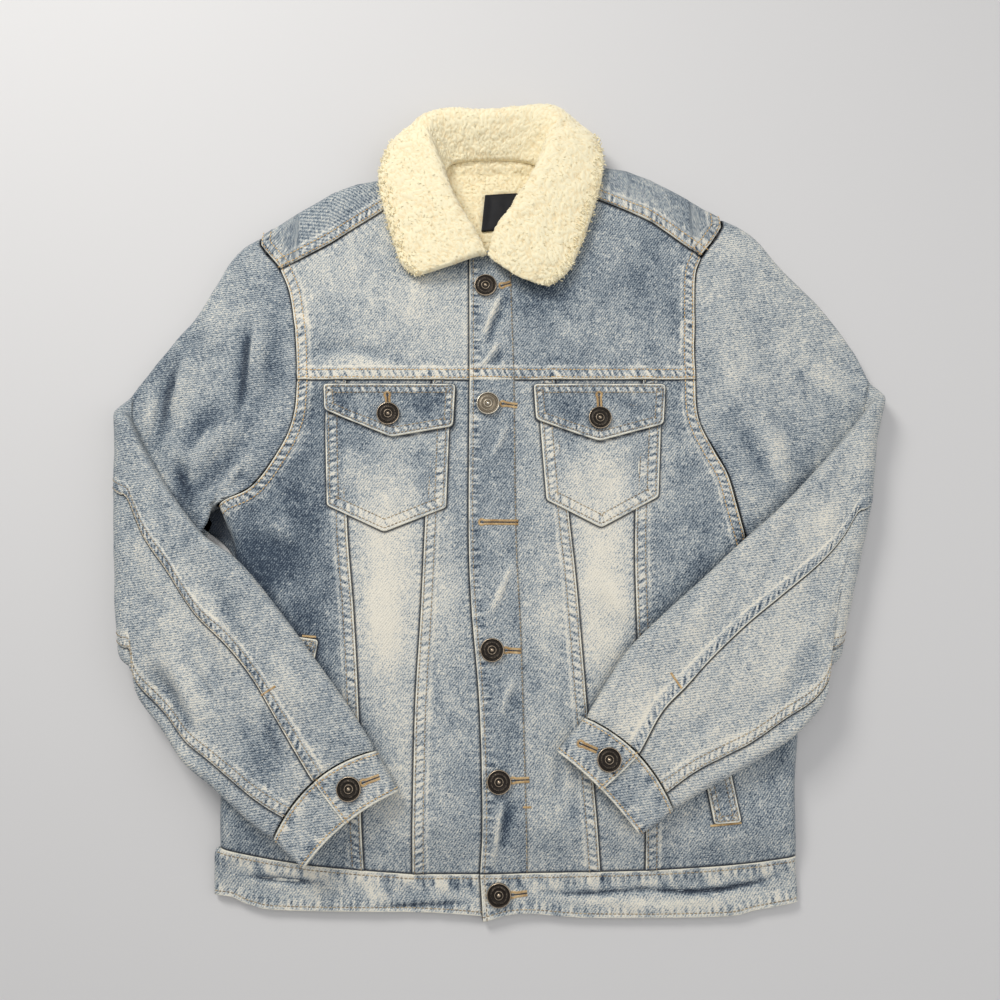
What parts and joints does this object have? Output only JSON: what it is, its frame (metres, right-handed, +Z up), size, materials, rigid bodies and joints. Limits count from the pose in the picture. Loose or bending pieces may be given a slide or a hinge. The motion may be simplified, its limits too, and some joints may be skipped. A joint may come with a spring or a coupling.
{
  "type": "sherpa lined denim trucker jacket",
  "caption": "Denim trucker jacket with a curly pile collar and lining, laid flat on its back, buttoned, with both sleeves folded over its front.",
  "frame": {"origin": "the middle of the bounding box, on the surface that the jacket lies on", "axes": "+Y from the hem to the collar, +Z up out of the front, +X towards the wearer's left"},
  "size_m": [0.71, 0.7492, 0.0456],
  "materials": {
    "denim": "light blue washed denim, faded and roped along its seams",
    "sherpa": "cream curly pile",
    "label": "black woven satin",
    "bronze": "dark antique, worn bright on its ridges"
  },
  "bodies": {
    "root": {"back": "denim", "back_yoke": "denim", "front_yoke_left": "denim", "front_yoke_right": "denim", "front_side_left": "denim", "front_side_right": "denim", "front_mid_left": "denim", "front_mid_right": "denim", "front_centre_left": "denim", "front_centre_right": "denim", "placket": "denim", "waistband_left": "denim", "waistband_right": "denim", "waistband_back": "denim", "pocket_left": "denim", "pocket_right": "denim", "flap_left": "denim", "flap_right": "denim", "welt_left": "denim", "welt_right": "denim", "top_sleeve_left": "denim", "top_sleeve_right": "denim", "under_sleeve_left": "denim", "under_sleeve_right": "denim", "cuff_left": "denim", "cuff_right": "denim", "collar": "sherpa", "lining_back": "sherpa", "lining_front_left": "sherpa", "lining_front_right": "sherpa", "neck_label": "label", "button_1": "bronze", "button_2": "bronze", "button_3": "bronze", "button_4": "bronze", "button_5": "bronze", "button_6": "bronze", "button_7": "bronze", "button_8": "bronze", "button_9": "bronze"}
  },
  "joints": []
}
